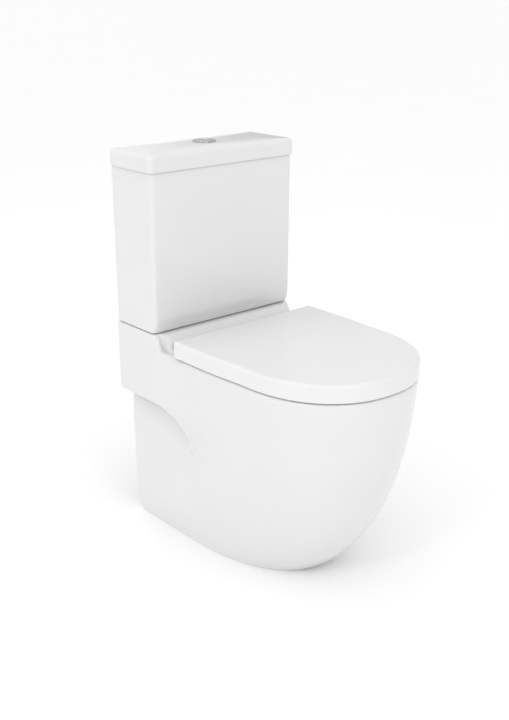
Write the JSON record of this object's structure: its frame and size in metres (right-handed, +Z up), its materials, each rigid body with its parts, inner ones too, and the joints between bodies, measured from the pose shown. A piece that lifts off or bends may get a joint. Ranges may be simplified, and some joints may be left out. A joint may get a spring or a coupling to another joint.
{
  "type": "close coupled toilet",
  "caption": "Back-to-wall close coupled toilet: skirted china pan with a box cistern on its deck, round dual-flush button and a wrap-over hinged seat and lid.",
  "frame": {"origin": "on the floor, on the plane of symmetry, half way between the wall plane and the tip of the seat lid", "axes": "+X across, +Y to the wall, +Z up; the bowl points along -Y"},
  "size_m": [0.3572, 0.586, 0.7928],
  "materials": {
    "china": "gloss white glaze",
    "seat_plastic": "gloss white moulding",
    "chrome": "bright plate",
    "rubber": "matt",
    "grey_rubber": "matt pale grey",
    "steel": "satin",
    "valve_plastic": "satin white",
    "blue_plastic": "satin",
    "grey_plastic": "satin",
    "brass": "satin"
  },
  "bodies": {
    "pan_and_cistern": {"pan": "china", "bowl_and_trap": "china", "cistern": "china", "doughnut_washer": "rubber", "cistern_bolts": "steel", "bolt_rubber_washers": "rubber", "bolt_steel_washers": "steel", "wing_nuts": "brass", "deck_buffers": "rubber", "flush_valve_base": "valve_plastic", "flush_valve_washer": "rubber", "flush_valve_backnut": "grey_plastic", "flush_valve_cage": "grey_plastic", "rocker_pins": "steel", "fill_valve_column": "valve_plastic", "fill_valve_washer": "rubber", "fill_valve_nut": "grey_plastic", "fill_valve_head": "grey_plastic", "float_lever_pin": "steel", "hinge_posts": "chrome", "hinge_pins": "steel", "hinge_pads": "grey_rubber", "hinge_studs": "steel", "hinge_bushes": "rubber", "hinge_nuts": "steel", "floor_brackets": "valve_plastic", "bracket_screws": "steel"},
    "tank_cover": {"cistern_lid": "china", "button_bezel": "chrome", "button_nut": "grey_plastic", "full_button_spring": "steel", "half_button_spring": "steel"},
    "full_button": {"full_flush_button": "chrome", "full_push_rod": "valve_plastic"},
    "half_button": {"half_flush_button": "chrome", "half_push_rod": "blue_plastic"},
    "flush_tube": {"overflow_tube": "valve_plastic", "flush_seal": "grey_rubber"},
    "full_rocker": {"full_flush_rocker": "valve_plastic"},
    "half_rocker": {"half_flush_rocker": "blue_plastic"},
    "half_link": {"half_flush_link": "blue_plastic"},
    "float": {"float_cup": "valve_plastic"},
    "lever": {"float_lever": "blue_plastic"},
    "ring": {"seat_ring": "seat_plastic", "ring_buffers": "grey_rubber"},
    "lid": {"seat_lid": "seat_plastic", "lid_buffers": "grey_rubber"}
  },
  "joints": [
    {"name": "cistern_lid_lift", "type": "slide", "parent": "pan_and_cistern", "child": "tank_cover", "axis": [0, 0, 1], "range_m": [0, 0.1]},
    {"name": "full_flush_press", "type": "slide", "parent": "tank_cover", "child": "full_button", "axis": [0, 0, -1], "range_m": [0, 0.005], "stiffness_N_per_m": 600, "springref_m": -0.004, "deforming": ["full_button_spring"]},
    {"name": "half_flush_press", "type": "slide", "parent": "tank_cover", "child": "half_button", "axis": [0, 0, -1], "range_m": [0, 0.005], "stiffness_N_per_m": 600, "springref_m": -0.004, "deforming": ["half_button_spring"]},
    {"name": "full_rocker_turn", "type": "hinge", "parent": "pan_and_cistern", "child": "full_rocker", "pos_m": [-0.026, 0.227, 0.702], "axis": [0, 1, 0], "range_deg": [0, 16]},
    {"name": "flush_tube_lift", "type": "slide", "parent": "pan_and_cistern", "child": "flush_tube", "axis": [0, 0, 1], "range_m": [0, 0.0066]},
    {"name": "half_rocker_turn", "type": "hinge", "parent": "pan_and_cistern", "child": "half_rocker", "pos_m": [0.026, 0.227, 0.702], "axis": [0, -1, 0], "range_deg": [0, 16]},
    {"name": "half_link_lift", "type": "slide", "parent": "pan_and_cistern", "child": "half_link", "axis": [0, 0, 1], "range_m": [0, 0.0066]},
    {"name": "float_rise", "type": "slide", "parent": "pan_and_cistern", "child": "float", "axis": [0, 0, 1], "range_m": [0, 0.012]},
    {"name": "float_lever_turn", "type": "hinge", "parent": "pan_and_cistern", "child": "lever", "pos_m": [0.122, 0.227, 0.705], "axis": [0, 1, 0], "range_deg": [0, 15.2]},
    {"name": "seat_hinge", "type": "hinge", "parent": "pan_and_cistern", "child": "ring", "pos_m": [0, 0.098, 0.435], "axis": [-1, 0, 0], "range_deg": [0, 97.5]},
    {"name": "lid_hinge", "type": "hinge", "parent": "ring", "child": "lid", "pos_m": [0, 0.098, 0.435], "axis": [1, 0, 0], "range_deg": [-97.5, 0]}
  ],
  "couplings": [
    {"joint": "full_rocker_turn", "follows": "full_flush_press", "rad_per_m": 55},
    {"joint": "flush_tube_lift", "follows": "full_flush_press", "ratio": 1.3},
    {"joint": "half_rocker_turn", "follows": "half_flush_press", "rad_per_m": 55},
    {"joint": "half_link_lift", "follows": "half_flush_press", "ratio": 1.3},
    {"joint": "float_lever_turn", "follows": "float_rise", "rad_per_m": 22}
  ]
}
